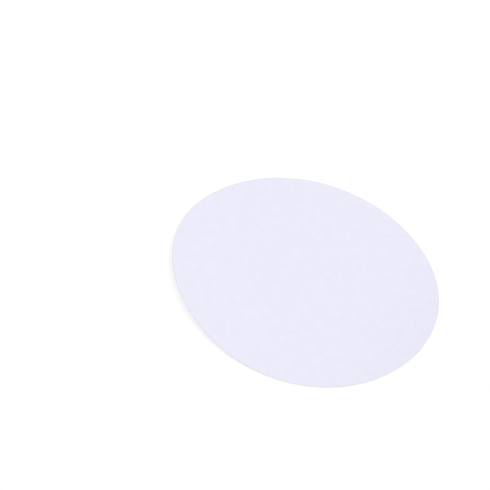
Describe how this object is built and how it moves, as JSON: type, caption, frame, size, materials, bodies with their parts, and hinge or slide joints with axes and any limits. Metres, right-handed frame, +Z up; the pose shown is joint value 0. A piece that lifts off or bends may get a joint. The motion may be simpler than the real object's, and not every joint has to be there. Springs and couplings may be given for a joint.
{
  "type": "filter paper disc",
  "caption": "Thin round disc of white laboratory filter paper, lying on a surface with opposite sides gently curled up.",
  "frame": {"origin": "middle of the disc, on the surface that it lies on", "axes": "+Z up from the surface, X across the two curled sides, +Y towards the edge where the flat middle strip is widest"},
  "size_m": [0.1247, 0.125, 0.0044],
  "materials": {
    "paper": "matt, uncoated, soft fine-fibred surface"
  },
  "bodies": {
    "root": {"filter_disc": "paper"}
  },
  "joints": []
}
